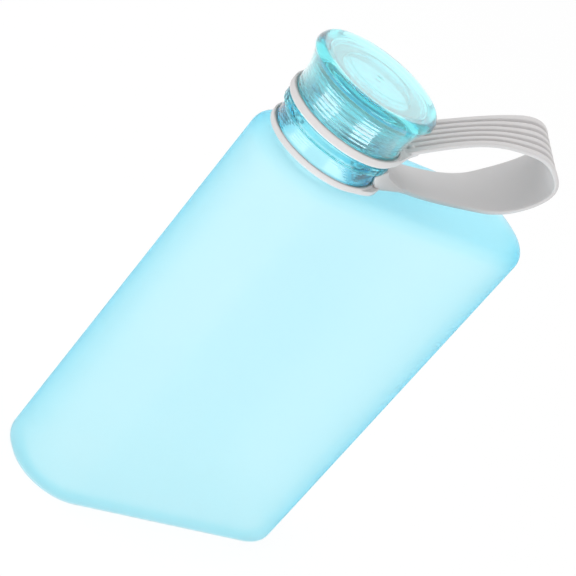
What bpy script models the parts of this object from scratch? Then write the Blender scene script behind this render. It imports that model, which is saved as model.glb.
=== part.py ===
"""Flat water bottle with a screw cap and a silicone carry strap.

Lengths are metres and +Z is up. The origin is the middle of the base. The broad
faces look along -Y and +Y, the neck stands near the -X end of the shoulder, and
the strap loops out from the neck towards +X.
"""
import math

import bmesh
import bpy
from mathutils import Vector

# Gap kept between two pieces that touch, and how far a cutter runs past a face
FIT_GAP = 0.0003
CUT_OVERRUN = 0.002

# Bottle body, a flat vessel with nearly half-round ends
BODY_WIDTH = 0.1163
BODY_DEPTH = 0.043
BODY_HEIGHT = 0.1529
BODY_CORNER_RADIUS = 0.0205
BODY_TOP_RADIUS = 0.0051
BODY_WALL = 0.002

# Base plate, welded into the open lower end of the body
BASE_RIM_HEIGHT = 0.0026
BASE_EDGE_RADIUS = 0.0019
BASE_FLOOR = 0.0020
BASE_LIP_HEIGHT = 0.0018
BASE_LIP_WALL = 0.0015

# Neck, from the shoulder up: a groove for the strap, a collar, the threaded finish
NECK_INSET = 0.0229
GROOVE_RADIUS = 0.0176
GROOVE_HEIGHT = 0.0029
COLLAR_RADIUS = 0.0188
COLLAR_HEIGHT = 0.0057
COLLAR_CHAMFER = 0.0005
FINISH_RADIUS = 0.016
NECK_BORE_RADIUS = 0.0142
LIP_CHAMFER = 0.0005

# Two-start screw thread, shared by the neck and the cap insert
THREAD_STARTS = 2
THREAD_PITCH = 0.003
THREAD_DEPTH = 0.001
THREAD_ROOT_WIDTH = 0.0016
THREAD_CREST_WIDTH = 0.0008
THREAD_CLEARANCE = 0.00035
THREAD_TURNS = 1.25
THREAD_RISE_ABOVE_COLLAR = 0.0045
THREAD_SINK = 0.0004

# Cap insert, the threaded cup inside the cap, with a flange under the strap ring
INSERT_WALL = 0.00115
INSERT_TOP_THICKNESS = 0.0013
FLANGE_RADIUS = 0.0204
FLANGE_HEIGHT = 0.0036
FLANGE_CHAMFER = 0.0006
BEAD_DEPTH = 0.0007
BEAD_HEIGHT = 0.0013

# Cap gasket, a flat silicone washer that seals on the rim of the neck
GASKET_THICKNESS = 0.0013
GASKET_HOLE_RADIUS = 0.013

# Cap shell, which flares from a straight skirt to a thick rounded rim
CAP_HEIGHT = 0.0236
SKIRT_WALL = 0.0011
SKIRT_STRAIGHT_HEIGHT = 0.0025
SHELL_TOP_THICKNESS = 0.0024
RIM_RADIUS = 0.0231
RIM_DROP = 0.0026
TOP_FACE_RADIUS = 0.0212
SKIRT_CHAMFER = 0.0003

# Carry strap: two rings and the ribbed band that joins them
TOP_RING_RADIUS = 0.0211
TOP_RING_HEIGHT = 0.0025
BOTTOM_RING_RADIUS = 0.0199
BOTTOM_RING_HEIGHT = 0.0018
RING_CHAMFER = 0.0004
BAND_REACH = 0.088
BAND_RISE = 0.022
BAND_WIDTH = 0.0205
BAND_THICKNESS = 0.0018
BAND_EDGE_CHAMFER = 0.0003
BAND_ROOT_SINK = 0.0021
RIB_COUNT = 6
RIB_GROOVE_DEPTH = 0.0005
RIB_GROOVE_WIDTH_SHARE = 0.42

# Stations along the band's middle line, from the bottom ring round to the top ring:
# which ring the height counts from (0 bottom, 1 top), the share of the way from the
# ring to the band's reach, the share of its rise, then the shares of its width by
# which it shifts to +Y and how wide it is there, and its roll in degrees
BAND_STATION_SHARES = (
    (0.0, 0.00, 0.00, 0.000, 0.74, 0.0),
    (0.0, 0.33, 0.00, 0.000, 0.78, 0.0),
    (0.0, 0.61, 0.17, 0.005, 0.80, 2.0),
    (0.0, 0.76, 0.32, 0.030, 1.03, 10.0),
    (0.5, 1.00, 0.72, 0.035, 0.99, 17.0),
    (1.0, 0.84, 0.96, 0.040, 0.91, 19.0),
    (1.0, 0.65, 0.90, 0.015, 0.81, 13.0),
    (1.0, 0.40, 0.70, 0.000, 0.56, 5.0),
    (1.0, 0.00, -0.09, 0.000, 0.75, 0.0),
)
BAND_SPLIT_SHARE = 0.5
BAND_PLAIN_SHARE = 0.04
BAND_RAMP_SHARE = 0.03

# How finely round shapes are faceted
TURN_STEPS = 48
CORNER_STEPS = 9
EDGE_STEPS = 4
FLARE_STEPS = 6
BAND_SECTIONS = 26
FADE_STEPS = 4

# Places and levels that follow from the sizes above
NECK_X = NECK_INSET - BODY_WIDTH / 2
GROOVE_TOP_Z = BODY_HEIGHT + GROOVE_HEIGHT
COLLAR_TOP_Z = GROOVE_TOP_Z + COLLAR_HEIGHT
FLANGE_BOTTOM_Z = COLLAR_TOP_Z + FIT_GAP
FLANGE_TOP_Z = FLANGE_BOTTOM_Z + FLANGE_HEIGHT
TOP_RING_Z = FLANGE_TOP_Z + FIT_GAP
SKIRT_BOTTOM_Z = TOP_RING_Z + TOP_RING_HEIGHT + FIT_GAP
BOTTOM_RING_Z = GROOVE_TOP_Z - FIT_GAP - BOTTOM_RING_HEIGHT
CAP_TOP_Z = FLANGE_BOTTOM_Z + CAP_HEIGHT
SHELL_CEILING_Z = CAP_TOP_Z - SHELL_TOP_THICKNESS
INSERT_TOP_Z = SHELL_CEILING_Z - FIT_GAP
INSERT_CEILING_Z = INSERT_TOP_Z - INSERT_TOP_THICKNESS
GASKET_Z = INSERT_CEILING_Z - FIT_GAP - GASKET_THICKNESS
NECK_TOP_Z = GASKET_Z - FIT_GAP
INSERT_BORE_RADIUS = FINISH_RADIUS + THREAD_DEPTH + THREAD_CLEARANCE
INSERT_RADIUS = INSERT_BORE_RADIUS + INSERT_WALL
SHELL_BORE_RADIUS = INSERT_RADIUS + FIT_GAP
SKIRT_RADIUS = SHELL_BORE_RADIUS + SKIRT_WALL
THREAD_LEAD = THREAD_STARTS * THREAD_PITCH


def clear_scene():
    """Remove whatever the scene holds."""
    for obj in list(bpy.data.objects):
        bpy.data.objects.remove(obj, do_unlink=True)


def make_material(name, colour, roughness, transmission=0.0):
    """A Principled material with the piece's colour and finish."""
    material = bpy.data.materials.new(name)
    material.use_nodes = True
    shader = material.node_tree.nodes["Principled BSDF"]
    shader.inputs["Base Color"].default_value = (*colour, 1.0)
    shader.inputs["Roughness"].default_value = roughness
    shader.inputs["Metallic"].default_value = 0.0
    shader.inputs["Transmission Weight"].default_value = transmission
    material.diffuse_color = (*colour, 1.0)
    return material


def axis_empty(name):
    """An empty on the neck's axis, which carries the pieces that turn about it."""
    empty = bpy.data.objects.new(name, None)
    empty.location = (NECK_X, 0.0, 0.0)
    bpy.context.collection.objects.link(empty)
    return empty


def add_object(name, bm, parent=None, material=None):
    """Make an object of a bmesh, with its faces out and its round sides smooth."""
    bmesh.ops.recalc_face_normals(bm, faces=bm.faces)
    mesh = bpy.data.meshes.new(name)
    bm.to_mesh(mesh)
    bm.free()
    mesh.shade_smooth()
    mesh.set_sharp_from_angle(angle=math.radians(30.0))
    obj = bpy.data.objects.new(name, mesh)
    obj.parent = parent
    if material:
        mesh.materials.append(material)
    bpy.context.collection.objects.link(obj)
    return obj


def make_guide(obj):
    """Mark an object that only cuts or joins another."""
    obj.hide_render = True
    obj.display_type = "WIRE"
    return obj


def combine(obj, tool, operation):
    """Cut or join an object with a guide."""
    modifier = obj.modifiers.new(tool.name, "BOOLEAN")
    modifier.operation = operation
    modifier.solver = "EXACT"
    modifier.object = make_guide(tool)


def loft(rings):
    """A closed mesh through rings of as many points each, capped at both ends."""
    bm = bmesh.new()
    loops = [[bm.verts.new(point) for point in ring] for ring in rings]
    for low, high in zip(loops, loops[1:]):
        for i in range(len(low)):
            j = (i + 1) % len(low)
            bm.faces.new((low[i], low[j], high[j], high[i]))
    bm.faces.new(loops[0])
    bm.faces.new(loops[-1])
    return bm


def turned(profile):
    """Turn a closed outline of (radius, height) points about the Z axis."""
    bm = bmesh.new()
    rings = []
    for radius, height in profile:
        if radius == 0:
            rings.append([bm.verts.new((0.0, 0.0, height))])
            continue
        angles = (math.tau * i / TURN_STEPS for i in range(TURN_STEPS))
        rings.append([bm.verts.new((radius * math.cos(a), radius * math.sin(a), height)) for a in angles])
    for low, high in zip(rings, rings[1:] + rings[:1]):
        if len(low) == 1 and len(high) == 1:
            continue
        for i in range(TURN_STEPS):
            j = (i + 1) % TURN_STEPS
            if len(low) == 1:
                bm.faces.new((low[0], high[j], high[i]))
            elif len(high) == 1:
                bm.faces.new((low[i], low[j], high[0]))
            else:
                bm.faces.new((low[i], low[j], high[j], high[i]))
    return bm


def body_outline(inset, height):
    """The body's outline seen from above, moved inwards by inset."""
    radius = BODY_CORNER_RADIUS - inset
    centre_x = BODY_WIDTH / 2 - BODY_CORNER_RADIUS
    centre_y = BODY_DEPTH / 2 - BODY_CORNER_RADIUS
    points = []
    for quarter, (side_x, side_y) in enumerate(((1, 1), (-1, 1), (-1, -1), (1, -1))):
        for step in range(CORNER_STEPS + 1):
            angle = math.pi / 2 * (quarter + step / CORNER_STEPS)
            x = side_x * centre_x + radius * math.cos(angle)
            y = side_y * centre_y + radius * math.sin(angle)
            points.append((x, y, height))
    return points


def rounded_block(bottom, top, inset, top_radius):
    """A solid of the body's outline with a rounded upper edge."""
    rings = [body_outline(inset, bottom)]
    for step in range(EDGE_STEPS + 1):
        angle = math.pi / 2 * step / EDGE_STEPS
        drop = top_radius * (1 - math.sin(angle))
        rings.append(body_outline(inset + top_radius * (1 - math.cos(angle)), top - drop))
    return loft(rings)


def thread_ridge(root_radius, outward, start_height, start_angle):
    """One start of a right-hand thread, sunk a little into the wall that carries it."""
    steps = round(THREAD_TURNS * TURN_STEPS)
    rings = []
    for step in range(steps + 1):
        turn = (step + 0.5) / TURN_STEPS
        angle = start_angle + math.tau * turn
        height = start_height + THREAD_LEAD * turn
        fade = min(1.0, step / FADE_STEPS, (steps - step) / FADE_STEPS)
        reach = (THREAD_DEPTH + THREAD_SINK / 2) * fade - THREAD_SINK / 2
        sunk = root_radius - outward * THREAD_SINK
        crest = root_radius + outward * reach
        section = (
            (sunk, height - THREAD_ROOT_WIDTH / 2),
            (sunk, height + THREAD_ROOT_WIDTH / 2),
            (crest, height + THREAD_CREST_WIDTH / 2),
            (crest, height - THREAD_CREST_WIDTH / 2),
        )
        rings.append([(r * math.cos(angle), r * math.sin(angle), z) for r, z in section])
    return loft(rings)


def add_thread(obj, axis, root_radius, outward, start_height):
    """Join every start of the thread to the wall of an object."""
    for start in range(THREAD_STARTS):
        angle = math.tau * start / THREAD_STARTS
        ridge = thread_ridge(root_radius, outward, start_height, angle)
        combine(obj, add_object(f"{obj.name}_thread_{start + 1}", ridge, axis), "UNION")


def make_bottle_body(axis):
    """The vessel: walls and shoulder, with the neck moulded in one with them."""
    frosted = make_material("frosted_light_cyan", (0.55, 0.87, 1.0), 0.5, 0.4)
    seam = BASE_RIM_HEIGHT + FIT_GAP
    body = add_object("bottle_body", rounded_block(seam, BODY_HEIGHT, 0.0, BODY_TOP_RADIUS), None, frosted)

    root = BODY_HEIGHT - BODY_WALL / 2
    neck = turned((
        (0, root),
        (GROOVE_RADIUS, root),
        (GROOVE_RADIUS, GROOVE_TOP_Z),
        (COLLAR_RADIUS - COLLAR_CHAMFER, GROOVE_TOP_Z),
        (COLLAR_RADIUS, GROOVE_TOP_Z + COLLAR_CHAMFER),
        (COLLAR_RADIUS, COLLAR_TOP_Z - COLLAR_CHAMFER),
        (COLLAR_RADIUS - COLLAR_CHAMFER, COLLAR_TOP_Z),
        (FINISH_RADIUS, COLLAR_TOP_Z),
        (FINISH_RADIUS, NECK_TOP_Z - LIP_CHAMFER),
        (FINISH_RADIUS - LIP_CHAMFER, NECK_TOP_Z),
        (0, NECK_TOP_Z),
    ))
    combine(body, add_object("neck_form", neck, axis), "UNION")

    ceiling = BODY_HEIGHT - BODY_WALL
    cavity = rounded_block(seam - CUT_OVERRUN, ceiling, BODY_WALL, BODY_TOP_RADIUS - BODY_WALL)
    combine(body, add_object("cavity_cutter", cavity), "DIFFERENCE")

    bore = turned((
        (0, ceiling - CUT_OVERRUN),
        (NECK_BORE_RADIUS, ceiling - CUT_OVERRUN),
        (NECK_BORE_RADIUS, NECK_TOP_Z - LIP_CHAMFER),
        (NECK_BORE_RADIUS + LIP_CHAMFER, NECK_TOP_Z),
        (NECK_BORE_RADIUS + LIP_CHAMFER, NECK_TOP_Z + CUT_OVERRUN),
        (0, NECK_TOP_Z + CUT_OVERRUN),
    ))
    combine(body, add_object("bore_cutter", bore, axis), "DIFFERENCE")
    add_thread(body, axis, FINISH_RADIUS, 1, COLLAR_TOP_Z + THREAD_RISE_ABOVE_COLLAR)


def make_base_plate():
    """The plate that closes the body, with a lip that locates it inside the walls."""
    frosted = make_material("frosted_base", (0.5, 0.83, 0.97), 0.5, 0.4)
    rings = []
    for step in range(EDGE_STEPS + 1):
        angle = math.pi / 2 * step / EDGE_STEPS
        inset = BASE_EDGE_RADIUS * (1 - math.sin(angle))
        rings.append(body_outline(inset, BASE_EDGE_RADIUS * (1 - math.cos(angle))))
    lip_outside = BODY_WALL + FIT_GAP
    lip_inside = lip_outside + BASE_LIP_WALL
    lip_top = BASE_RIM_HEIGHT + BASE_LIP_HEIGHT
    rings.append(body_outline(0.0, BASE_RIM_HEIGHT))
    rings.append(body_outline(lip_outside, BASE_RIM_HEIGHT))
    rings.append(body_outline(lip_outside, lip_top))
    rings.append(body_outline(lip_inside, lip_top))
    rings.append(body_outline(lip_inside, BASE_FLOOR))
    add_object("base_plate", loft(rings), None, frosted)


def make_cap_insert(axis):
    """The threaded cup, with the strap ring's groove above its flange."""
    clear = make_material("clear_turquoise_insert", (0.25, 0.75, 0.82), 0.15, 0.7)
    bead_top = GASKET_Z - FIT_GAP
    bead_radius = INSERT_BORE_RADIUS - BEAD_DEPTH
    insert = add_object("cap_insert", turned((
        (INSERT_BORE_RADIUS, FLANGE_BOTTOM_Z),
        (FLANGE_RADIUS - FLANGE_CHAMFER, FLANGE_BOTTOM_Z),
        (FLANGE_RADIUS, FLANGE_BOTTOM_Z + FLANGE_CHAMFER),
        (FLANGE_RADIUS, FLANGE_TOP_Z - FLANGE_CHAMFER),
        (FLANGE_RADIUS - FLANGE_CHAMFER, FLANGE_TOP_Z),
        (INSERT_RADIUS, FLANGE_TOP_Z),
        (INSERT_RADIUS, INSERT_TOP_Z - FLANGE_CHAMFER),
        (INSERT_RADIUS - FLANGE_CHAMFER, INSERT_TOP_Z),
        (0, INSERT_TOP_Z),
        (0, INSERT_CEILING_Z),
        (INSERT_BORE_RADIUS, INSERT_CEILING_Z),
        (INSERT_BORE_RADIUS, bead_top),
        (bead_radius, bead_top - BEAD_HEIGHT / 4),
        (bead_radius, bead_top - BEAD_HEIGHT / 2),
        (INSERT_BORE_RADIUS, bead_top - BEAD_HEIGHT),
    )), axis, clear)
    start = COLLAR_TOP_Z + THREAD_RISE_ABOVE_COLLAR + THREAD_PITCH / 2 - THREAD_PITCH
    add_thread(insert, axis, INSERT_BORE_RADIUS, -1, start)


def make_cap_gasket(axis):
    """The washer under the insert's ceiling, held up by the insert's bead."""
    silicone = make_material("white_silicone", (0.85, 0.86, 0.86), 0.6)
    outer = INSERT_BORE_RADIUS - FIT_GAP
    add_object("cap_gasket", turned((
        (GASKET_HOLE_RADIUS, GASKET_Z),
        (outer, GASKET_Z),
        (outer, GASKET_Z + GASKET_THICKNESS),
        (GASKET_HOLE_RADIUS, GASKET_Z + GASKET_THICKNESS),
    )), axis, silicone)


def make_cap_shell(axis):
    """The thick clear cover that is gripped to turn the cap."""
    clear = make_material("clear_turquoise_shell", (0.3, 0.8, 0.87), 0.08, 0.8)
    rim_z = CAP_TOP_Z - RIM_DROP
    flare_z = SKIRT_BOTTOM_Z + SKIRT_STRAIGHT_HEIGHT
    profile = [
        (SHELL_BORE_RADIUS, SKIRT_BOTTOM_Z),
        (SKIRT_RADIUS - SKIRT_CHAMFER, SKIRT_BOTTOM_Z),
        (SKIRT_RADIUS, SKIRT_BOTTOM_Z + SKIRT_CHAMFER),
    ]
    for step in range(FLARE_STEPS + 1):
        share = step / FLARE_STEPS
        radius = SKIRT_RADIUS + (RIM_RADIUS - SKIRT_RADIUS) * share ** 2
        profile.append((radius, flare_z + (rim_z - flare_z) * share))
    for step in range(1, EDGE_STEPS + 1):
        angle = math.pi / 2 * step / EDGE_STEPS
        radius = TOP_FACE_RADIUS + (RIM_RADIUS - TOP_FACE_RADIUS) * math.cos(angle)
        profile.append((radius, rim_z + RIM_DROP * math.sin(angle)))
    profile += [(0, CAP_TOP_Z), (0, SHELL_CEILING_Z), (SHELL_BORE_RADIUS, SHELL_CEILING_Z)]
    add_object("cap_shell", turned(profile), axis, clear)


def make_strap_ring(name, axis, silicone, inner, outer, bottom, height):
    """A silicone ring with eased outer edges."""
    add_object(name, turned((
        (inner, bottom),
        (outer - RING_CHAMFER, bottom),
        (outer, bottom + RING_CHAMFER),
        (outer, bottom + height - RING_CHAMFER),
        (outer - RING_CHAMFER, bottom + height),
        (inner, bottom + height),
    )), axis, silicone)


def spline_point(rows, share):
    """A point of the smooth cubic B-spline that runs along rows of numbers."""
    first = [2 * a - b for a, b in zip(rows[0], rows[1])]
    last = [2 * a - b for a, b in zip(rows[-1], rows[-2])]
    padded = [first, *rows, last]
    place = share * (len(rows) - 1)
    index = min(int(place), len(rows) - 2)
    f = place - index
    weights = ((1 - f) ** 3, 3 * f ** 3 - 6 * f ** 2 + 4, -3 * f ** 3 + 3 * f ** 2 + 3 * f + 1, f ** 3)
    near = padded[index:index + 4]
    return [sum(w * row[i] for w, row in zip(weights, near)) / 6 for i in range(len(rows[0]))]


def band_stations():
    """The band's stations in metres and radians: x, y, z, width and roll."""
    bottom_z = BOTTOM_RING_Z + BOTTOM_RING_HEIGHT / 2
    top_z = TOP_RING_Z + TOP_RING_HEIGHT / 2
    rows = []
    for ring, along, rise, shift, width, roll in BAND_STATION_SHARES:
        radius = BOTTOM_RING_RADIUS + (TOP_RING_RADIUS - BOTTOM_RING_RADIUS) * ring
        root = radius - BAND_ROOT_SINK
        x = root + (BAND_REACH - root) * along
        z = bottom_z + (top_z - bottom_z) * ring + BAND_RISE * rise
        rows.append((x, BAND_WIDTH * shift, z, BAND_WIDTH * width, math.radians(roll)))
    return rows


def rib_depth(share):
    """How deep the band's grooves are at a share of its length: none near the rings."""
    from_end = min(share, 1 - share) - BAND_PLAIN_SHARE
    return RIB_GROOVE_DEPTH * min(1.0, max(0.0, from_end / BAND_RAMP_SHARE))


def band_section(width, depth):
    """The band's outline across its width, smooth inside and ribbed outside."""
    half, skin, ease = width / 2, BAND_THICKNESS / 2, BAND_EDGE_CHAMFER
    outline = [(-half + ease, -skin), (half - ease, -skin), (half, ease - skin), (half, skin - ease)]
    outline.append((half - ease, skin))
    rib = width / RIB_COUNT
    groove = rib * RIB_GROOVE_WIDTH_SHARE / 2
    for number in range(1, RIB_COUNT):
        middle = half - rib * number
        outline.append((middle + groove, skin))
        outline.append((middle + groove / 2, skin - depth))
        outline.append((middle - groove / 2, skin - depth))
        outline.append((middle - groove, skin))
    outline += [(-half + ease, skin), (-half, skin - ease), (-half, ease - skin)]
    return outline


def band_ring(rows, share):
    """The band's outline placed square to its middle line at a share of its length."""
    nudge = 1 / (BAND_SECTIONS * len(rows))
    x, y, z, width, roll = spline_point(rows, share)
    before = Vector(spline_point(rows, max(0.0, share - nudge))[:3])
    after = Vector(spline_point(rows, min(1.0, share + nudge))[:3])
    along = (after - before).normalized()
    across = Vector((0.0, math.cos(roll), math.sin(roll)))
    across = (across - along * across.dot(along)).normalized()
    outward = across.cross(along)
    middle = Vector((x, y, z))
    section = band_section(width, rib_depth(share))
    return [middle + across * u + outward * v for u, v in section]


def make_band(name, axis, silicone, start, end, ring_radius):
    """Half of the band, trimmed where it meets its ring."""
    rows = band_stations()
    shares = [start + (end - start) * i / BAND_SECTIONS for i in range(BAND_SECTIONS + 1)]
    band = add_object(name, loft([band_ring(rows, share) for share in shares]), axis, silicone)
    radius = ring_radius + FIT_GAP
    low, high = BODY_HEIGHT - CUT_OVERRUN, CAP_TOP_Z
    cutter = turned(((0, low), (radius, low), (radius, high), (0, high)))
    combine(band, add_object(f"{name}_cutter", cutter, axis), "DIFFERENCE")


def band_split_gap():
    """The share of the band's length that leaves the fit gap between its halves."""
    rows = band_stations()
    low = Vector(spline_point(rows, BAND_SPLIT_SHARE - BAND_RAMP_SHARE)[:3])
    high = Vector(spline_point(rows, BAND_SPLIT_SHARE + BAND_RAMP_SHARE)[:3])
    return FIT_GAP * 2 * BAND_RAMP_SHARE / (high - low).length


def make_strap(axis):
    """The silicone strap, one moulding that is divided here where it bends."""
    top = make_material("grey_silicone_top", (0.75, 0.75, 0.75), 0.65)
    bottom = make_material("grey_silicone_bottom", (0.7, 0.7, 0.7), 0.65)
    top_inner = INSERT_RADIUS + FIT_GAP
    bottom_inner = GROOVE_RADIUS + FIT_GAP
    make_strap_ring("strap_top_ring", axis, top, top_inner, TOP_RING_RADIUS, TOP_RING_Z, TOP_RING_HEIGHT)
    make_strap_ring("strap_bottom_ring", axis, bottom, bottom_inner, BOTTOM_RING_RADIUS,
                    BOTTOM_RING_Z, BOTTOM_RING_HEIGHT)
    gap = band_split_gap()
    upper = make_material("grey_silicone_upper", (0.78, 0.77, 0.77), 0.65)
    lower = make_material("grey_silicone_lower", (0.73, 0.73, 0.73), 0.65)
    make_band("strap_band_lower", axis, lower, 0.0, BAND_SPLIT_SHARE - gap / 2, BOTTOM_RING_RADIUS)
    make_band("strap_band_upper", axis, upper, 1.0, BAND_SPLIT_SHARE + gap / 2, TOP_RING_RADIUS)


def main():
    clear_scene()
    neck_axis = axis_empty("neck_axis")
    make_bottle_body(neck_axis)
    make_base_plate()
    cap_axis = axis_empty("cap_axis")
    make_cap_insert(cap_axis)
    make_cap_gasket(cap_axis)
    make_cap_shell(cap_axis)
    make_strap(axis_empty("strap_axis"))


main()
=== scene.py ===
import math

import bmesh
import bpy
from mathutils import Matrix, Vector


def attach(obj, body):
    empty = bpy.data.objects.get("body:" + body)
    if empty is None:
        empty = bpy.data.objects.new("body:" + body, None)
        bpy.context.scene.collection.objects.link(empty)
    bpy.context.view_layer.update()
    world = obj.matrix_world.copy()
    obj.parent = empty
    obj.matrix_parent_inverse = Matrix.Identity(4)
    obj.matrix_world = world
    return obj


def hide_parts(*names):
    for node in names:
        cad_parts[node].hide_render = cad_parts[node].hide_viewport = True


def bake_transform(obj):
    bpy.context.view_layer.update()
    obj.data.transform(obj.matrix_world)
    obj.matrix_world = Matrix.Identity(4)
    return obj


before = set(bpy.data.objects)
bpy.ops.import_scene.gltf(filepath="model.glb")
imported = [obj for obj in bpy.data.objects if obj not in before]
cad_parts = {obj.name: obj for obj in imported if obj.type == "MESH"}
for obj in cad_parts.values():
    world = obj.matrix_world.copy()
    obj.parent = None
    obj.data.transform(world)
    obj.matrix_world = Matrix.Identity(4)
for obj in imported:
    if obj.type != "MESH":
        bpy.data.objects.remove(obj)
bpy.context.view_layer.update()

# Every length below is in metres.

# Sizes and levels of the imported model: the body and its base
FIT_GAP = 0.0003
BODY_WIDTH = 0.1163
BODY_DEPTH = 0.043
BODY_HEIGHT = 0.1529
BODY_CORNER_RADIUS = 0.0205
BODY_TOP_RADIUS = 0.0051
BODY_WALL = 0.002
BASE_RIM_HEIGHT = 0.0026
BASE_EDGE_RADIUS = 0.0019
BASE_FLOOR = 0.0020
BASE_LIP_HEIGHT = 0.0018
BASE_LIP_WALL = 0.0015

# The neck and its screw thread
NECK_INSET = 0.0229
NECK_X = NECK_INSET - BODY_WIDTH / 2
GROOVE_RADIUS = 0.0176
GROOVE_HEIGHT = 0.0029
GROOVE_TOP_Z = BODY_HEIGHT + GROOVE_HEIGHT
COLLAR_RADIUS = 0.0188
COLLAR_HEIGHT = 0.0057
COLLAR_TOP_Z = GROOVE_TOP_Z + COLLAR_HEIGHT
FINISH_RADIUS = 0.016
NECK_BORE_RADIUS = 0.0142
THREAD_STARTS = 2
THREAD_PITCH = 0.003
THREAD_DEPTH = 0.001
THREAD_ROOT_WIDTH = 0.0016
THREAD_CREST_WIDTH = 0.0008
THREAD_CLEARANCE = 0.00035
THREAD_TURNS = 1.25
THREAD_RISE_ABOVE_COLLAR = 0.0045
THREAD_Z = COLLAR_TOP_Z + THREAD_RISE_ABOVE_COLLAR

# The cap insert's radii and flange, and the strap's rings
INSERT_BORE_RADIUS = FINISH_RADIUS + THREAD_DEPTH + THREAD_CLEARANCE
INSERT_WALL = 0.00115
INSERT_RADIUS = INSERT_BORE_RADIUS + INSERT_WALL
INSERT_TOP_THICKNESS = 0.0013
FLANGE_RADIUS = 0.0204
FLANGE_HEIGHT = 0.0036
FLANGE_BOTTOM_Z = COLLAR_TOP_Z + FIT_GAP
FLANGE_TOP_Z = FLANGE_BOTTOM_Z + FLANGE_HEIGHT
TOP_RING_Z = FLANGE_TOP_Z + FIT_GAP
TOP_RING_HEIGHT = 0.0025
TOP_RING_RADIUS = 0.0211
BOTTOM_RING_HEIGHT = 0.0018
BOTTOM_RING_Z = GROOVE_TOP_Z - FIT_GAP - BOTTOM_RING_HEIGHT
BOTTOM_RING_RADIUS = 0.0199

# The levels inside the cap, and the cap shell
CAP_HEIGHT = 0.0236
CAP_TOP_Z = FLANGE_BOTTOM_Z + CAP_HEIGHT
SHELL_TOP_THICKNESS = 0.0024
SHELL_CEILING_Z = CAP_TOP_Z - SHELL_TOP_THICKNESS
INSERT_TOP_Z = SHELL_CEILING_Z - FIT_GAP
INSERT_CEILING_Z = INSERT_TOP_Z - INSERT_TOP_THICKNESS
GASKET_THICKNESS = 0.0013
GASKET_HOLE_RADIUS = 0.013
GASKET_Z = INSERT_CEILING_Z - FIT_GAP - GASKET_THICKNESS
NECK_TOP_Z = GASKET_Z - FIT_GAP
SHELL_BORE_RADIUS = INSERT_RADIUS + FIT_GAP
SKIRT_WALL = 0.0011
SKIRT_RADIUS = SHELL_BORE_RADIUS + SKIRT_WALL
SKIRT_BOTTOM_Z = TOP_RING_Z + TOP_RING_HEIGHT + FIT_GAP
SKIRT_STRAIGHT_HEIGHT = 0.0025
FLARE_Z = SKIRT_BOTTOM_Z + SKIRT_STRAIGHT_HEIGHT
RIM_RADIUS = 0.0231
RIM_DROP = 0.0026
RIM_Z = CAP_TOP_Z - RIM_DROP
TOP_FACE_RADIUS = 0.0212

# The strap's band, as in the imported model. Each station gives its ring, 0 for the lower and 1
# for the upper, its shares of the reach, the rise, the sideways shift and the width, and its
# roll in degrees.
BAND_REACH = 0.088
BAND_RISE = 0.022
BAND_WIDTH = 0.0205
BAND_THICKNESS = 0.0018
BAND_ROOT_SINK = 0.0021
RIB_COUNT = 6
BAND_STATION_SHARES = (
    (0.0, 0.00, 0.00, 0.000, 0.74, 0.0),
    (0.0, 0.33, 0.00, 0.000, 0.78, 0.0),
    (0.0, 0.61, 0.17, 0.005, 0.80, 2.0),
    (0.0, 0.76, 0.32, 0.030, 1.03, 10.0),
    (0.5, 1.00, 0.72, 0.035, 0.99, 17.0),
    (1.0, 0.84, 0.96, 0.040, 0.91, 19.0),
    (1.0, 0.65, 0.90, 0.015, 0.81, 13.0),
    (1.0, 0.40, 0.70, 0.000, 0.56, 5.0),
    (1.0, 0.00, -0.09, 0.000, 0.75, 0.0),
)

# The inside of the vessel and the level of its seam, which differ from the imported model's:
# there the wall is BODY_WALL throughout and the seam lies at BASE_RIM_HEIGHT
END_WALL = 0.0024
SHOULDER_WALL = 0.0034
INNER_TOP_RADIUS = 0.006
SEAM_Z = 0.0012

# Detail that only this script has, from here on: the neck's rounded edges and fine rings
NECK_SEAT_GAP = 0.00002
GROOVE_FILLET = 0.0002
COLLAR_FILLET = 0.0006
FINISH_FILLET = 0.0005
MOUTH_FILLET = 0.0004
COLLAR_RING_PITCH = 0.0009
COLLAR_RING_DEPTH = 0.00005
THREAD_FADE_TURNS = 0.06

# The insert: the shallow dish in its top as radius and drop, the bead that holds the gasket
# as reach inwards and drop below the rim of the neck, its rings and its flange's scallops
INSERT_FOOT_FILLET = 0.0002
FLANGE_FILLET = 0.0006
INSERT_FILLET = 0.0003
INSERT_TOP_FILLET = 0.0006
INSERT_DISH = ((0.0120, 0.0), (0.0118, 0.0003), (0.0010, 0.0003), (0.0007, 0.0001), (0, 0.0001))
GASKET_BEAD = ((0.0, 0.0), (0.0007, 0.00032), (0.0007, 0.00065), (0.0, 0.0013))
BEAD_BOTTOM_Z = NECK_TOP_Z - GASKET_BEAD[-1][1]
INNER_THREAD_Z = THREAD_Z + THREAD_PITCH / 2 - THREAD_PITCH
INSERT_RING_DEPTH = 0.00022
INSERT_RING_MARGIN = 0.001
SCALLOP_COUNT = 36
SCALLOP_DEPTH = 0.0002
SCALLOP_ZONE = 0.0007
GASKET_FILLET = 0.0003

# The cap shell: its rings, and the shallow dish in its top as radius and drop
SKIRT_INNER_FILLET = 0.00025
SKIRT_OUTER_FILLET = 0.0004
RING_PITCH = 0.00135
RING_LEDGE_SHARE = 0.3
RING_FADE = 0.0004
SHELL_RING_DEPTH = 0.00006
SHELL_RING_START = 0.0012
SHELL_RING_MARGIN = 0.003
CAP_DISH = (
    (0.0205, 0.0), (0.0200, 0.00004), (0.0194, 0.00012), (0.0188, 0.0002), (0.0182, 0.00024),
    (0.0176, 0.00025), (0.0170, 0.00025), (0.0130, 0.00025), (0.0124, 0.00025), (0.0118, 0.0002),
    (0.0112, 0.00017), (0.0106, 0.00017), (0.0018, 0.00017), (0.0012, 0.00017), (0.0008, 0.0001),
    (0, 0.0001),
)

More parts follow.
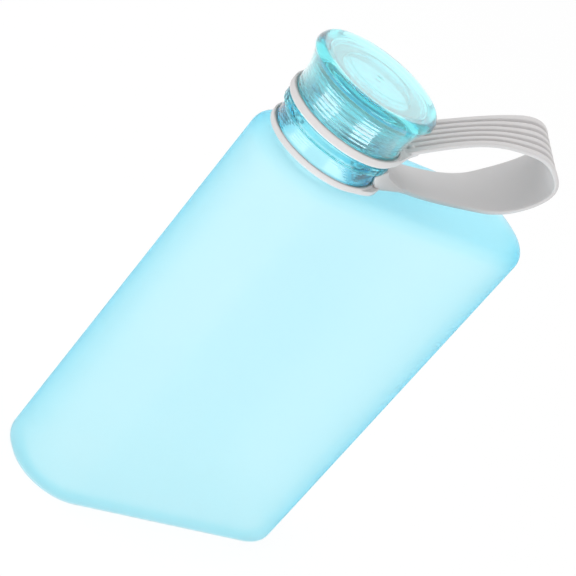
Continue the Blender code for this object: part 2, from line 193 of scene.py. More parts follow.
# The strap: its rings' edges and lips, the roots where the band leaves them as x, half width,
# lift of the lower face and lift of the upper face, the band's ribs and two nubs
RING_FILLET = 0.0003
RING_ROUND_SHARE = 0.3
RING_LIP = 0.0006
RING_LIP_GAP = 0.0002
LIP_ROOT_FILLET = 0.0001
BOTTOM_ROOT = (
    (0.0061, 0.0188, 0.0, 0.0), (0.0095, 0.0182, 0.0, 0.0), (0.0130, 0.0171, 0.0, 0.0),
    (0.0162, 0.0149, 0.0, 0.0), (0.0192, 0.0120, 0.0, 0.0), (0.0213, 0.0093, 0.0, 0.0),
    (0.0226, 0.0076, 0.0, 0.0), (0.0236, 0.0083, 0.0, 0.0), (0.0262, 0.0081, 0.0, 0.0),
    (0.0330, 0.0077, 0.0002, 0.0002),
)
TOP_ROOT = (
    (0.0134, 0.0162, 0.0, 0.0), (0.0170, 0.0138, 0.0, 0.0), (0.0201, 0.0112, 0.0, 0.0),
    (0.0231, 0.0086, 0.0001, -0.0003), (0.0254, 0.0070, 0.0008, 0.0001),
    (0.0275, 0.0067, 0.0024, 0.0010),
)
BAND_EDGE_RADIUS = 0.0005
RIB_GROOVE_DEPTH = 0.0013
RIB_GROOVE_SHARE = 0.5
RIB_GROOVE_POWER = 0.8
PLAIN_LOW_SHARE = 0.05
PLAIN_HIGH_SHARE = 0.012
TANGENT_SHARE = 0.002
NUB_X = 0.0250
NUB_Y = 0.0047
NUB_LIFT = 0.0004
NUB_RADIUS = 0.0013

# The upstand of the strap's lower end, as (x, y) from the neck's axis
UPSTAND_HEIGHT = 0.0060
UPSTAND_FOOT_NEAR = (0.0166, -0.0134)
UPSTAND_TOP_NEAR = (0.0107, -0.0163)
UPSTAND_FOOT_FAR = (0.0340, -0.0077)
UPSTAND_TOP_FAR = (0.0200, -0.0098)

# How finely the meshes are divided
TURN_STEPS = 144
CORNER_STEPS = 30
SIDE_STEPS = 56
SIDE_ROW_STEP = 0.012
EDGE_STEPS = 10
ARC_STEPS = 5
RIM_STEPS = 16
ROW_STEP = 0.000084
BAND_SECTIONS = 200
BAND_SIDE_STEPS = 12
BAND_ARC_STEPS = 6
RIB_STEPS = 12
ROOT_STEPS = 24
UPSTAND_STEPS = 24
UPSTAND_SIDE_STEPS = 6
STRAP_VOXEL = 0.00026
SAME_RADIUS = 1e-7

# The floor, the lamps' aim and the camera, which was solved from the body's outline in the
# photograph: its focal length is in pixels of an image of IMAGE_SIZE
FLOOR_HALF = 3.0
FLOOR_Z = -0.0001
WHITE = 1.03
FLOOR_WHITE_SHARE = 0.88
SKY_LEVEL = 0.68
LAMP_AIM_Z = 0.17
SENSOR_WIDTH = 36.0
IMAGE_SIZE = 576
FOCAL_PIXELS = 1854.395
CAMERA_PLACE = (-0.389705, -0.415591, 0.376898)
CAMERA_RIGHT = Vector((0.754071, -0.305977, 0.581167))
CAMERA_DOWN = Vector((0.249203, -0.685399, -0.684198))
CAMERA_FORWARD = Vector((0.607680, 0.660762, -0.440588))
LIGHT_BOUNCES = 24


def new_object(name, bm, materials, slot, *nodes, sharp=32.0):
    """A piece made of a bmesh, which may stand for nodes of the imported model."""
    bmesh.ops.recalc_face_normals(bm, faces=bm.faces)
    mesh = bpy.data.meshes.new(name)
    bm.to_mesh(mesh)
    bm.free()
    mesh.shade_smooth()
    mesh.set_sharp_from_angle(angle=math.radians(sharp))
    obj = bpy.data.objects.new(name, mesh)
    bpy.context.scene.collection.objects.link(obj)
    for material in materials:
        mesh.materials.append(material)
    if nodes:
        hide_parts(*nodes)
    return obj


def rounded(corners):
    """A closed outline of (radius, height) points, from corners with a fillet each."""
    points = []
    for i, (x, z, fillet) in enumerate(corners):
        here = Vector((x, z))
        if not fillet:
            points.append((x, z))
            continue
        before = Vector(corners[i - 1][:2])
        after = Vector(corners[(i + 1) % len(corners)][:2])
        to_before, to_after = (before - here).normalized(), (after - here).normalized()
        half = to_before.angle(to_after) / 2
        cut = fillet / math.tan(half)
        centre = here + (to_before + to_after).normalized() * (fillet / math.sin(half))
        start, end = here + to_before * cut - centre, here + to_after * cut - centre
        turn = start.angle_signed(end)
        for step in range(ARC_STEPS + 1):
            angle = -turn * step / ARC_STEPS
            c, s = math.cos(angle), math.sin(angle)
            arm = Vector((start.x * c - start.y * s, start.x * s + start.y * c))
            points.append(tuple(centre + arm))
    return points


def rows_between(low, high, step):
    """Heights spread evenly between two levels, without the levels themselves."""
    count = max(1, round(abs(high - low) / step))
    return [low + (high - low) * i / count for i in range(1, count)]


def fill_rows(points, radius, low, high):
    """Add rows to the upright wall of an outline that runs at a radius."""
    filled = []
    for here, after in zip(points, points[1:] + points[:1]):
        filled.append(here)
        on_wall = max(abs(here[0] - radius), abs(after[0] - radius)) < SAME_RADIUS
        if on_wall and low <= min(here[1], after[1]) and max(here[1], after[1]) <= high:
            filled += [(radius, z) for z in rows_between(here[1], after[1], ROW_STEP)]
    return filled


def ring_wave(height, low, high, pitch=RING_PITCH):
    """A row of rings between two levels: 0 to 1, fading in and out at the ends."""
    fade = min(1.0, max(0.0, min(height - low, high - height) / RING_FADE))
    place = (height - low) / pitch % 1
    if place < RING_LEDGE_SHARE:
        share = place / RING_LEDGE_SHARE
    else:
        share = (1 - place) / (1 - RING_LEDGE_SHARE)
    return fade * share * share * (3 - 2 * share)


def thread_height(angle, height, start_z):
    """The share of the thread's depth at a point of the wall that carries it."""
    best = 0.0
    for start in range(THREAD_STARTS):
        for whole in range(2):
            turn = (angle / math.tau - start / THREAD_STARTS) % 1 + whole
            if turn > THREAD_TURNS:
                continue
            off = abs(height - start_z - THREAD_STARTS * THREAD_PITCH * turn)
            flank = (THREAD_ROOT_WIDTH - THREAD_CREST_WIDTH) / 2
            rise = (THREAD_ROOT_WIDTH / 2 - off) / flank
            fade = min(1.0, turn / THREAD_FADE_TURNS, (THREAD_TURNS - turn) / THREAD_FADE_TURNS)
            best = max(best, min(1.0, max(0.0, rise)) * max(0.0, fade))
    return best * best * (3 - 2 * best)


def turned(profile, shape=None):
    """Turn a closed outline about the neck's axis; shape moves the radius of a point."""
    bm = bmesh.new()
    rings = []
    for radius, height in profile:
        if radius == 0:
            rings.append([bm.verts.new((NECK_X, 0.0, height))])
            continue
        ring = []
        for i in range(TURN_STEPS):
            angle = math.tau * i / TURN_STEPS
            r = shape(angle, radius, height) if shape else radius
            ring.append(bm.verts.new((NECK_X + r * math.cos(angle), r * math.sin(angle), height)))
        rings.append(ring)
    for low, high in zip(rings, rings[1:] + rings[:1]):
        if len(low) == 1 and len(high) == 1:
            continue
        for i in range(TURN_STEPS):
            j = (i + 1) % TURN_STEPS
            if len(low) == 1:
                bm.faces.new((low[0], high[j], high[i]))
            elif len(high) == 1:
                bm.faces.new((low[i], low[j], high[0]))
            else:
                bm.faces.new((low[i], low[j], high[j], high[i]))
    return bm


def body_outline(inset, height, end_inset=0.0):
    """The body's outline seen from above, moved inwards by inset, and more at the ends."""
    radius = BODY_CORNER_RADIUS - inset
    centre_x = BODY_WIDTH / 2 - BODY_CORNER_RADIUS - end_inset
    centre_y = BODY_DEPTH / 2 - BODY_CORNER_RADIUS
    points = []
    for quarter, (side_x, side_y) in enumerate(((1, 1), (-1, 1), (-1, -1), (1, -1))):
        for step in range(CORNER_STEPS + 1):
            angle = math.pi / 2 * (quarter + step / CORNER_STEPS)
            x = side_x * centre_x + radius * math.cos(angle)
            y = side_y * centre_y + radius * math.sin(angle)
            points.append((x, y, height))
        if side_x == side_y:
            x, y, _ = points[-1]
            for step in range(1, SIDE_STEPS):
                points.append((x - 2 * x * step / SIDE_STEPS, y, height))
    return points


def neck_hole(outline, radius, height):
    """A circle about the neck with a point towards each point of an outline."""
    points = []
    for x, y, _ in outline:
        arm = Vector((x - NECK_X, y)).normalized() * radius
        points.append((NECK_X + arm.x, arm.y, height))
    return points


def block_rings(bottom, top, inset, top_radius, end_inset=0.0):
    """Rings up the side of a block of the body's outline and round its upper edge."""
    levels = [bottom, *rows_between(bottom, top - top_radius, SIDE_ROW_STEP)]
    rings = [body_outline(inset, z, end_inset) for z in levels]
    for step in range(EDGE_STEPS + 1):
        angle = math.pi / 2 * step / EDGE_STEPS
        ring_inset = inset + top_radius * (1 - math.cos(angle))
        drop = top_radius * (1 - math.sin(angle))
        rings.append(body_outline(ring_inset, top - drop, end_inset))
    return rings


def foot_rings(low, high):
    """Rings round the rounded lower edge of the body, between two levels."""
    rings = []
    for step in range(EDGE_STEPS + 1):
        z = low + (high - low) * step / EDGE_STEPS
        rise = BASE_EDGE_RADIUS - z
        inset = BASE_EDGE_RADIUS - math.sqrt(max(0.0, BASE_EDGE_RADIUS ** 2 - rise ** 2))
        rings.append(body_outline(inset, z))
    return rings


def lofted(rings, wound=False):
    """A closed mesh through rings of as many points each.

    Where it is wound, the last ring is joined to the first. Otherwise each end gets a face.
    """
    bm = bmesh.new()
    loops = [[bm.verts.new(point) for point in ring] for ring in rings]
    after = loops[1:] + loops[:1] if wound else loops[1:]
    for low, high in zip(loops, after):
        for i in range(len(low)):
            j = (i + 1) % len(low)
            bm.faces.new((low[i], low[j], high[j], high[i]))
    if not wound:
        bm.faces.new(loops[0])
        bm.faces.new(loops[-1])
    return bm


def textured(name, colours, cloud_scale, roughness, grain_depth, grain_scale, **values):
    """A Principled material whose colour, roughness and bump vary over the piece."""
    material = bpy.data.materials.new(name)
    material.use_nodes = True
    nodes, link = material.node_tree.nodes, material.node_tree.links.new
    main = nodes["Principled BSDF"]
    place = nodes.new("ShaderNodeTexCoord")

    cloud = nodes.new("ShaderNodeTexNoise")
    cloud.inputs["Scale"].default_value = cloud_scale
    cloud.inputs["Detail"].default_value = 3.0
    link(place.outputs["Object"], cloud.inputs["Vector"])
    ramp = nodes.new("ShaderNodeValToRGB")
    for stop, position, colour in zip(ramp.color_ramp.elements, (0.3, 0.7), colours):
        stop.position = position
        stop.color = (*colour, 1.0)
    link(cloud.outputs["Fac"], ramp.inputs["Fac"])
    link(ramp.outputs["Color"], main.inputs["Base Color"])

    grain = nodes.new("ShaderNodeTexNoise")
    grain.inputs["Scale"].default_value = grain_scale
    grain.inputs["Detail"].default_value = 2.0
    link(place.outputs["Object"], grain.inputs["Vector"])
    spread = nodes.new("ShaderNodeMapRange")
    spread.inputs["To Min"].default_value, spread.inputs["To Max"].default_value = roughness
    link(grain.outputs["Fac"], spread.inputs["Value"])
    link(spread.outputs["Result"], main.inputs["Roughness"])
    relief = nodes.new("ShaderNodeBump")
    relief.inputs["Strength"].default_value = 1.0
    relief.inputs["Distance"].default_value = grain_depth
    link(grain.outputs["Fac"], relief.inputs["Height"])
    link(relief.outputs["Normal"], main.inputs["Normal"])
    for socket, value in values.items():
        main.inputs[socket.replace("_", " ")].default_value = value
    return material


def absorbing(material, colour, density):
    """Let the inside of a clear material take colour from light by the way it goes."""
    inside = material.node_tree.nodes.new("ShaderNodeVolumeAbsorption")
    inside.inputs["Color"].default_value = (*colour, 1.0)
    inside.inputs["Density"].default_value = density
    output = material.node_tree.nodes["Material Output"]
    material.node_tree.links.new(inside.outputs["Volume"], output.inputs["Volume"])


FROSTED = textured(
    "frosted_body", colours=((0.895, 0.985, 1.0), (0.925, 0.989, 1.0)), cloud_scale=14.0,
    roughness=(0.5, 0.6), grain_depth=0.000005, grain_scale=2600.0,
    Transmission_Weight=1.0, IOR=1.18)
absorbing(FROSTED, colour=(0.0, 0.85, 1.0), density=60.0)
FROSTED_BASE = textured(
    "frosted_base", colours=((0.96, 0.996, 1.0), (0.98, 0.998, 1.0)), cloud_scale=18.0,
    roughness=(0.5, 0.6), grain_depth=0.000005, grain_scale=2600.0,
    Transmission_Weight=1.0, IOR=1.18)
absorbing(FROSTED_BASE, colour=(0.0, 0.85, 0.98), density=74.0)
CLEAR_NECK = textured(
    "clear_neck", colours=((0.97, 0.995, 1.0), (0.985, 0.997, 1.0)), cloud_scale=60.0,
    roughness=(0.05, 0.10), grain_depth=0.000004, grain_scale=500.0,
    Transmission_Weight=1.0, IOR=1.3, Coat_Weight=1.0, Coat_Roughness=0.25)
absorbing(CLEAR_NECK, colour=(0.0, 0.86, 0.99), density=115.0)
CLEAR_CAP = textured(
    "clear_cap", colours=((0.97, 0.995, 0.995), (0.985, 0.997, 0.997)), cloud_scale=50.0,
    roughness=(0.02, 0.05), grain_depth=0.000006, grain_scale=420.0,
    Transmission_Weight=1.0, IOR=1.42, Coat_Weight=1.0, Coat_Roughness=0.03)
absorbing(CLEAR_CAP, colour=(0.0, 0.925, 0.955), density=180.0)
CLEAR_INSERT = textured(
    "clear_insert", colours=((0.96, 0.995, 0.995), (0.98, 0.997, 0.997)), cloud_scale=70.0,
    roughness=(0.05, 0.10), grain_depth=0.000005, grain_scale=600.0,
    Transmission_Weight=1.0, IOR=1.35)
absorbing(CLEAR_INSERT, colour=(0.0, 0.86, 0.93), density=140.0)
GASKET = textured(
    "gasket_silicone", colours=((0.90, 0.92, 0.92), (0.93, 0.94, 0.94)), cloud_scale=90.0,
    roughness=(0.5, 0.62), grain_depth=0.00001, grain_scale=1500.0,
    Transmission_Weight=0.6, IOR=1.1)
SILICONE = textured(
    "strap_silicone", colours=((0.655, 0.64, 0.64), (0.705, 0.69, 0.69)), cloud_scale=30.0,
    roughness=(0.55, 0.7), grain_depth=0.000012, grain_scale=1900.0,
    Subsurface_Weight=0.3, Subsurface_Scale=0.0015, Subsurface_Radius=(1.0, 0.95, 0.9))

# Bottle body: a frosted shell, thicker at its ends and shoulder, closed by the base plate
seam_z = SEAM_Z + FIT_GAP
ceiling_z = BODY_HEIGHT - SHOULDER_WALL
outside = foot_rings(seam_z, BASE_EDGE_RADIUS)[:-1]
outside += block_rings(BASE_EDGE_RADIUS, BODY_HEIGHT, 0.0, BODY_TOP_RADIUS)
inside = block_rings(seam_z, ceiling_z, BODY_WALL, INNER_TOP_RADIUS, END_WALL - BODY_WALL)
holes = [neck_hole(outside[-1], NECK_BORE_RADIUS, z) for z in (BODY_HEIGHT, ceiling_z)]
vessel = new_object("bottle_vessel", lofted(outside + holes + inside[::-1], wound=True),
                    [FROSTED], "frosted_body", "bottle_body")
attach(vessel, "bottle")

# Neck: the groove for the strap, the polished collar and the threaded finish
outline = rounded([
    (GROOVE_RADIUS, BODY_HEIGHT + NECK_SEAT_GAP, 0),
    (GROOVE_RADIUS, GROOVE_TOP_Z, GROOVE_FILLET),
    (COLLAR_RADIUS, GROOVE_TOP_Z, COLLAR_FILLET),
    (COLLAR_RADIUS, COLLAR_TOP_Z, COLLAR_FILLET),
    (FINISH_RADIUS, COLLAR_TOP_Z, FINISH_FILLET),
    (FINISH_RADIUS, NECK_TOP_Z, FINISH_FILLET),
    (NECK_BORE_RADIUS, NECK_TOP_Z, MOUTH_FILLET),
    (NECK_BORE_RADIUS, BODY_HEIGHT + NECK_SEAT_GAP, 0),
])
outline = fill_rows(outline, COLLAR_RADIUS, GROOVE_TOP_Z, COLLAR_TOP_Z)
outline = fill_rows(outline, FINISH_RADIUS, COLLAR_TOP_Z, NECK_TOP_Z)


def neck_shape(angle, radius, height):
    """The neck's radius with fine rings on its collar and the thread on its finish."""
    if radius == COLLAR_RADIUS:
        low, high = GROOVE_TOP_Z + COLLAR_FILLET, COLLAR_TOP_Z - COLLAR_FILLET
        return radius - COLLAR_RING_DEPTH * ring_wave(height, low, high, COLLAR_RING_PITCH)
    if radius == FINISH_RADIUS and height >= COLLAR_TOP_Z:
        return radius + THREAD_DEPTH * thread_height(angle, height, THREAD_Z)
    return radius


neck = new_object("bottle_neck", turned(outline, neck_shape), [CLEAR_NECK], "clear_neck",
                  "bottle_body")
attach(neck, "bottle")

# Base plate with its locating lip
plate = foot_rings(0.0, SEAM_Z)
lip_out = BODY_WALL + FIT_GAP
lip_in = lip_out + BASE_LIP_WALL
lip_top = BASE_RIM_HEIGHT + BASE_LIP_HEIGHT
for inset, z in ((lip_out, SEAM_Z), (lip_out, lip_top), (lip_in, lip_top), (lip_in, BASE_FLOOR)):
    plate.append(body_outline(inset, z, END_WALL - BODY_WALL))
base = new_object("base_disc", lofted(plate), [FROSTED_BASE], "frosted_base", "base_plate")
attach(base, "bottle")

# Cap insert: the threaded cup with rings round its wall
cup = [
    (INSERT_BORE_RADIUS, FLANGE_BOTTOM_Z, INSERT_FOOT_FILLET),
    (FLANGE_RADIUS, FLANGE_BOTTOM_Z, FLANGE_FILLET),
    (FLANGE_RADIUS, FLANGE_TOP_Z, FLANGE_FILLET),
    (INSERT_RADIUS, FLANGE_TOP_Z, INSERT_FILLET),
    (INSERT_RADIUS, INSERT_TOP_Z, INSERT_TOP_FILLET),
]
cup += [(radius, INSERT_TOP_Z - drop, 0) for radius, drop in INSERT_DISH]
cup += [(0, INSERT_CEILING_Z, 0), (INSERT_BORE_RADIUS, INSERT_CEILING_Z, INSERT_FILLET)]
cup += [(INSERT_BORE_RADIUS - reach, NECK_TOP_Z - drop, 0) for reach, drop in GASKET_BEAD]
outline = fill_rows(rounded(cup), INSERT_RADIUS, FLANGE_TOP_Z, INSERT_TOP_Z)
outline = fill_rows(outline, INSERT_BORE_RADIUS, FLANGE_BOTTOM_Z, BEAD_BOTTOM_Z)


def insert_shape(angle, radius, height):
    """The cup's radius with the rings outside, the thread inside and the flange's scallops."""
    if radius == INSERT_RADIUS and height > SKIRT_BOTTOM_Z:
        high = INSERT_TOP_Z - INSERT_RING_MARGIN
        return radius - INSERT_RING_DEPTH * ring_wave(height, SKIRT_BOTTOM_Z, high)
    if radius == INSERT_BORE_RADIUS and height < BEAD_BOTTOM_Z:
        return radius - THREAD_DEPTH * thread_height(angle, height, INNER_THREAD_Z)
    if abs(radius - FLANGE_RADIUS) < SCALLOP_ZONE and height < FLANGE_BOTTOM_Z + SCALLOP_ZONE:
        return radius - SCALLOP_DEPTH * max(0.0, math.cos(angle * SCALLOP_COUNT)) ** 2
    return radius


liner = new_object("cap_liner", turned(outline, insert_shape), [CLEAR_INSERT], "clear_insert",
                   "cap_insert")
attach(liner, "cap")

# Gasket
washer = rounded([
    (GASKET_HOLE_RADIUS, GASKET_Z, GASKET_FILLET),
    (INSERT_BORE_RADIUS - FIT_GAP, GASKET_Z, GASKET_FILLET),
    (INSERT_BORE_RADIUS - FIT_GAP, GASKET_Z + GASKET_THICKNESS, GASKET_FILLET),
    (GASKET_HOLE_RADIUS, GASKET_Z + GASKET_THICKNESS, GASKET_FILLET),
])
gasket = new_object("seal_washer", turned(washer), [GASKET], "gasket_silicone", "cap_gasket")
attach(gasket, "cap_seal")

# Cap shell: thick clear cover with a ringed skirt and a flared rim
cover = rounded([
    (SHELL_BORE_RADIUS, SKIRT_BOTTOM_Z, SKIRT_INNER_FILLET),
    (SKIRT_RADIUS, SKIRT_BOTTOM_Z, SKIRT_OUTER_FILLET),
    (SKIRT_RADIUS, FLARE_Z, 0),
])[:-1]
cover += [(SKIRT_RADIUS, z) for z in rows_between(cover[-1][1], FLARE_Z, ROW_STEP)]
flare_rows = round((RIM_Z - FLARE_Z) / ROW_STEP)
for step in range(flare_rows + 1):
    share = step / flare_rows
    radius = SKIRT_RADIUS + (RIM_RADIUS - SKIRT_RADIUS) * share ** 2
    cover.append((radius, FLARE_Z + (RIM_Z - FLARE_Z) * share))
for step in range(1, RIM_STEPS + 1):
    angle = math.pi / 2 * step / RIM_STEPS
    radius = TOP_FACE_RADIUS + (RIM_RADIUS - TOP_FACE_RADIUS) * math.cos(angle)
    cover.append((radius, RIM_Z + (CAP_TOP_Z - RIM_Z) * math.sin(angle)))
cover += [(radius, CAP_TOP_Z - drop) for radius, drop in CAP_DISH]
cover += [(0, SHELL_CEILING_Z), (SHELL_BORE_RADIUS, SHELL_CEILING_Z)]


def cover_shape(angle, radius, height):
    """The cover's radius with fine rings round the skirt."""
    if radius < SKIRT_RADIUS or height > RIM_Z:
        return radius
    low, high = SKIRT_BOTTOM_Z + SHELL_RING_START, RIM_Z - SHELL_RING_MARGIN
    return radius - SHELL_RING_DEPTH * ring_wave(height, low, high)


shell = new_object("cap_cover", turned(cover, cover_shape), [CLEAR_CAP], "clear_cap", "cap_shell")
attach(shell, "cap")


def spline_point(rows, share):
    """A point of the smooth cubic B-spline that runs along rows of numbers."""
    first = [2 * a - b for a, b in zip(rows[0], rows[1])]
    last = [2 * a - b for a, b in zip(rows[-1], rows[-2])]
    padded = [first, *rows, last]
    place = share * (len(rows) - 1)
    index = min(int(place), len(rows) - 2)
    f = place - index
    weights = (
        (1 - f) ** 3,
        3 * f ** 3 - 6 * f ** 2 + 4,
        -3 * f ** 3 + 3 * f ** 2 + 3 * f + 1,
        f ** 3,
    )
    near = padded[index:index + 4]
    return [sum(w * row[i] for w, row in zip(weights, near)) / 6 for i in range(len(rows[0]))]


def band_rows():
    """The band's stations in metres and radians: x, y, z, width and roll."""
    bottom_z = BOTTOM_RING_Z + BOTTOM_RING_HEIGHT / 2
    top_z = TOP_RING_Z + TOP_RING_HEIGHT / 2
    rows = []
    for ring, along, rise, shift, width, roll in BAND_STATION_SHARES:
        radius = BOTTOM_RING_RADIUS + (TOP_RING_RADIUS - BOTTOM_RING_RADIUS) * ring
        root = radius - BAND_ROOT_SINK
        x = root + (BAND_REACH - root) * along
        z = bottom_z + (top_z - bottom_z) * ring + BAND_RISE * rise
        rows.append((x, BAND_WIDTH * shift, z, BAND_WIDTH * width, math.radians(roll)))
    return rows


def band_section(width, depth):
    """The band's outline across its width, smooth inside and ribbed outside."""
    half, skin, ease = width / 2, BAND_THICKNESS / 2, BAND_EDGE_RADIUS
    outline = []

    def add_corner(u, v, first):
        """Add a quarter turn about a point, without its ends; first counts quarters."""
        for step in range(1, BAND_ARC_STEPS):
            angle = math.pi / 2 * (first + step / BAND_ARC_STEPS)
            outline.append((u + ease * math.cos(angle), v + ease * math.sin(angle)))

    for step in range(BAND_SIDE_STEPS + 1):
        outline.append((-half + ease + (width - 2 * ease) * step / BAND_SIDE_STEPS, -skin))
    add_corner(half - ease, -skin + ease, -1)
    add_corner(half - ease, skin - ease, 0)
    rib = width / RIB_COUNT
    steps = RIB_COUNT * RIB_STEPS
    for step in range(steps + 1):
        u = half - ease - (width - 2 * ease) * step / steps
        place = (half - u) / rib
        off = abs(place - round(place)) / (RIB_GROOVE_SHARE / 2)
        groove = (0.5 + 0.5 * math.cos(math.pi * min(1.0, off))) ** RIB_GROOVE_POWER
        if round(place) in (0, RIB_COUNT):
            groove = 0.0
        outline.append((u, skin - depth * groove))
    add_corner(-half + ease, skin - ease, 1)
    add_corner(-half + ease, -skin + ease, 2)
    return outline


def band_ring(rows, share):
    """The band's outline placed square to its middle line at a share of its length."""
    x, y, z, width, roll = spline_point(rows, share)
    before = Vector(spline_point(rows, max(0.0, share - TANGENT_SHARE))[:3])
    after = Vector(spline_point(rows, min(1.0, share + TANGENT_SHARE))[:3])
    along = (after - before).normalized()
    across = Vector((0.0, math.cos(roll), math.sin(roll)))
    across = (across - along * across.dot(along)).normalized()
    outward = across.cross(along)
    middle = Vector((NECK_X + x, y, z))
    from_end = min(share / PLAIN_LOW_SHARE, (1 - share) / PLAIN_HIGH_SHARE)
    depth = RIB_GROOVE_DEPTH * min(1.0, max(0.0, from_end - 1))
    return [middle + across * u + outward * v for u, v in band_section(width, depth)]


def strap_ring_profile(inner, wall, outer, bottom, top):
    """The closed outline of a strap ring, with a lip that hugs the wall above it."""
    return rounded([
        (inner, bottom, RING_FILLET),
        (outer, bottom, (top - bottom) * RING_ROUND_SHARE),
        (outer, top + RING_LIP, RING_FILLET),
        (wall, top + RING_LIP, RING_FILLET),
        (wall, top, LIP_ROOT_FILLET),
        (inner, top, RING_FILLET),
    ])


def root_plate(inner, side, bottom, top):
    """The plate that widens a ring where the band leaves it, from the rows of its side."""
    first = math.atan2(side[0][1], side[0][0])
    arc = [first - 2 * first * step / ROOT_STEPS for step in range(ROOT_STEPS + 1)]
    plan = [*side, *((x, -half, low, high) for x, half, low, high in side[::-1])]
    plan += [(inner * math.cos(b), -inner * math.sin(b), 0.0, 0.0) for b in arc]
    low_ring = [(NECK_X + x, y, bottom + low) for x, y, low, _ in plan]
    high_ring = [(NECK_X + x, y, top + high) for x, y, _, high in plan]
    return lofted([low_ring, high_ring])


def take_in(bm, other):
    """Add one bmesh to another."""
    bmesh.ops.recalc_face_normals(other, faces=other.faces)
    part = bpy.data.meshes.new("part")
    other.to_mesh(part)
    other.free()
    bm.from_mesh(part)
    bpy.data.meshes.remove(part)


def soft_solid(obj, rounds):
    """Grow the overlapping parts of a mesh together and round their edges."""
    obj.data.remesh_voxel_size = STRAP_VOXEL
    obj.data.remesh_voxel_adaptivity = 0.0
    bpy.context.view_layer.objects.active = obj
    bpy.ops.object.select_all(action="DESELECT")
    obj.select_set(True)
    bpy.ops.object.voxel_remesh()
    soften = obj.modifiers.new("soften", "SMOOTH")
    soften.factor = 0.5
    soften.iterations = rounds
    bpy.ops.object.modifier_apply(modifier=soften.name)
    obj.data.shade_smooth()


# Strap: two rings and the band, grown together into one soft moulding
rows = band_rows()
bm = lofted([band_ring(rows, i / BAND_SECTIONS) for i in range(BAND_SECTIONS + 1)])
for inner, wall, outer, bottom, top, side in (
        (GROOVE_RADIUS, COLLAR_RADIUS, BOTTOM_RING_RADIUS,
         BOTTOM_RING_Z, BOTTOM_RING_Z + BOTTOM_RING_HEIGHT, BOTTOM_ROOT),
        (INSERT_RADIUS, SKIRT_RADIUS, TOP_RING_RADIUS,
         TOP_RING_Z, TOP_RING_Z + TOP_RING_HEIGHT, TOP_ROOT)):
    inner += FIT_GAP
    take_in(bm, turned(strap_ring_profile(inner, wall + RING_LIP_GAP, outer, bottom, top)))
    take_in(bm, root_plate((inner + outer) / 2, side, bottom, top))
for nub_y in (-NUB_Y, NUB_Y):
    nub = bmesh.new()
    spot = (NECK_X + NUB_X, nub_y, TOP_RING_Z + TOP_RING_HEIGHT + NUB_LIFT)
    bmesh.ops.create_uvsphere(nub, u_segments=20, v_segments=12, radius=NUB_RADIUS,
                              matrix=Matrix.Translation(spot))
    take_in(bm, nub)
strap = new_object("carry_strap", bm, [SILICONE], "strap_silicone", "strap_top_ring",
                   "strap_band_upper", "strap_band_lower", "strap_bottom_ring", sharp=180.0)
soft_solid(strap, rounds=4)
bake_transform(strap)

# The upstand of the strap's lower end: it stands against the collar and runs out on the band
upstand = []
for step in range(UPSTAND_STEPS + 1):
    rise = step / UPSTAND_STEPS
    near = Vector(UPSTAND_FOOT_NEAR).lerp(Vector(UPSTAND_TOP_NEAR), rise)
    far = Vector(UPSTAND_TOP_FAR).lerp(Vector(UPSTAND_FOOT_FAR), (1 - rise) ** 2)
    reach = math.atan2(near.y, near.x)
    side = [near.lerp(far, i / UPSTAND_SIDE_STEPS) for i in range(UPSTAND_SIDE_STEPS + 1)]
    plan = side + [Vector((p.x, -p.y)) for p in side[::-1]]
    for i in range(UPSTAND_STEPS + 1):
        angle = -reach + 2 * reach * i / UPSTAND_STEPS
        plan.append(Vector((math.cos(angle), math.sin(angle))) * (COLLAR_RADIUS + FIT_GAP))
    z = BOTTOM_RING_Z + BOTTOM_RING_HEIGHT / 2 + UPSTAND_HEIGHT * rise
    upstand.append([(NECK_X + p.x, p.y, z) for p in plan])
lug = new_object("strap_upstand", lofted(upstand), [SILICONE], "strap_silicone", sharp=180.0)
soft_solid(lug, rounds=3)
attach(lug, "strap_lower")


def math_node(tree, operation, first, second):
    """The output of a Math node whose inputs are sockets or numbers."""
    node = tree.nodes.new("ShaderNodeMath")
    node.operation = operation
    for socket, value in zip(node.inputs, (first, second)):
        if isinstance(value, float):
            socket.default_value = value
        else:
            tree.links.new(value, socket)
    return node.outputs["Value"]


# Floor: white where it is seen, with a little of the object's shadow
corners = ((-1, -1), (1, -1), (1, 1), (-1, 1))
floor_mesh = bpy.data.meshes.new("floor")
floor_mesh.from_pydata([(FLOOR_HALF * x, FLOOR_HALF * y, FLOOR_Z) for x, y in corners], [],
                       [(0, 1, 2, 3)])
floor = bpy.data.objects.new("floor", floor_mesh)
bpy.context.scene.collection.objects.link(floor)
paper = bpy.data.materials.new("white_paper")
paper.use_nodes = True
paper.cycles.emission_sampling = "NONE"
tree = paper.node_tree
matt = tree.nodes["Principled BSDF"]
matt.inputs["Base Color"].default_value = (0.9, 0.9, 0.9, 1.0)
matt.inputs["Roughness"].default_value = 0.9
matt.inputs["Specular IOR Level"].default_value = 0.0
glow = tree.nodes.new("ShaderNodeEmission")
glow.inputs["Color"].default_value = (1.0, 1.0, 1.0, 1.0)
glow.inputs["Strength"].default_value = WHITE
paths = tree.nodes.new("ShaderNodeLightPath").outputs
seen = math_node(tree, "MULTIPLY", paths["Is Camera Ray"], FLOOR_WHITE_SHARE)
bounced = math_node(tree, "MAXIMUM", paths["Is Glossy Ray"], paths["Is Transmission Ray"])
both = tree.nodes.new("ShaderNodeMixShader")
tree.links.new(math_node(tree, "MAXIMUM", seen, bounced), both.inputs["Fac"])
tree.links.new(matt.outputs[0], both.inputs[1])
tree.links.new(glow.outputs[0], both.inputs[2])
tree.links.new(both.outputs[0], tree.nodes["Material Output"].inputs["Surface"])
floor_mesh.materials.append(paper)

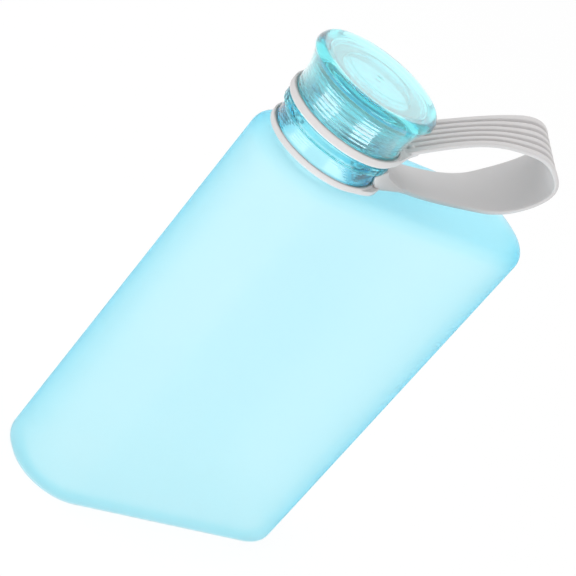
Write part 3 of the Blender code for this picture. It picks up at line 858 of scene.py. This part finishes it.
# World: white where it is seen, dimmer where it lights
world = bpy.data.worlds.new("studio")
bpy.context.scene.world = world
world.use_nodes = True
world.cycles.sampling_method = "NONE"
tree = world.node_tree
sky = tree.nodes["Background"]
sky.inputs["Color"].default_value = (1.0, 1.0, 1.0, 1.0)
paths = tree.nodes.new("ShaderNodeLightPath").outputs
seen = math_node(tree, "MAXIMUM", paths["Is Camera Ray"], paths["Is Transmission Ray"])
level = tree.nodes.new("ShaderNodeMapRange")
level.inputs["To Min"].default_value = SKY_LEVEL
level.inputs["To Max"].default_value = WHITE
tree.links.new(math_node(tree, "MAXIMUM", seen, paths["Is Glossy Ray"]), level.inputs["Value"])
tree.links.new(level.outputs["Result"], sky.inputs["Strength"])


def softbox(name, azimuth, elevation, distance, width, height, radiance):
    """A rectangular lamp aimed at the cap from a direction round the neck's axis."""
    data = bpy.data.lights.new(name, "AREA")
    data.shape = "RECTANGLE"
    data.size, data.size_y = width, height
    data.energy = radiance * math.pi * width * height
    lamp = bpy.data.objects.new(name, data)
    a, e = math.radians(azimuth), math.radians(elevation)
    arm = Vector((math.cos(a) * math.cos(e), math.sin(a) * math.cos(e), math.sin(e)))
    target = Vector((NECK_X, 0.0, LAMP_AIM_Z))
    lamp.location = target + arm * distance
    lamp.rotation_mode = "QUATERNION"
    lamp.rotation_quaternion = arm.to_track_quat("Z", "Y")
    lamp.visible_camera = False
    bpy.context.scene.collection.objects.link(lamp)
    return lamp


softbox("overhead", azimuth=90, elevation=75, distance=1.0, width=0.8, height=0.8, radiance=1.6)

# The near lamps aren't seen through clear material, where they would leave hot spots
for lamp in (
        softbox("strip_left", azimuth=186, elevation=-38, distance=0.2,
                width=0.13, height=0.085, radiance=4.2),
        softbox("strip_front", azimuth=273, elevation=-38, distance=0.2,
                width=0.12, height=0.085, radiance=5.2),
        softbox("back_card", azimuth=49.6, elevation=26.8, distance=0.25,
                width=0.07, height=0.07, radiance=0.4)):
    lamp.visible_transmission = False

# Camera
camera_data = bpy.data.cameras.new("camera")
camera_data.sensor_width = SENSOR_WIDTH
camera_data.lens = SENSOR_WIDTH * FOCAL_PIXELS / IMAGE_SIZE
camera_data.clip_start, camera_data.clip_end = 0.01, 20.0
camera = bpy.data.objects.new("camera", camera_data)
bpy.context.scene.collection.objects.link(camera)
spin = Matrix((CAMERA_RIGHT, -CAMERA_DOWN, -CAMERA_FORWARD)).transposed().to_4x4()
camera.matrix_world = Matrix.Translation(CAMERA_PLACE) @ spin
bpy.context.scene.camera = camera

scene = bpy.context.scene
scene.view_settings.view_transform = "Standard"
scene.cycles.max_bounces = LIGHT_BOUNCES
scene.cycles.transmission_bounces = LIGHT_BOUNCES
scene.cycles.glossy_bounces = LIGHT_BOUNCES
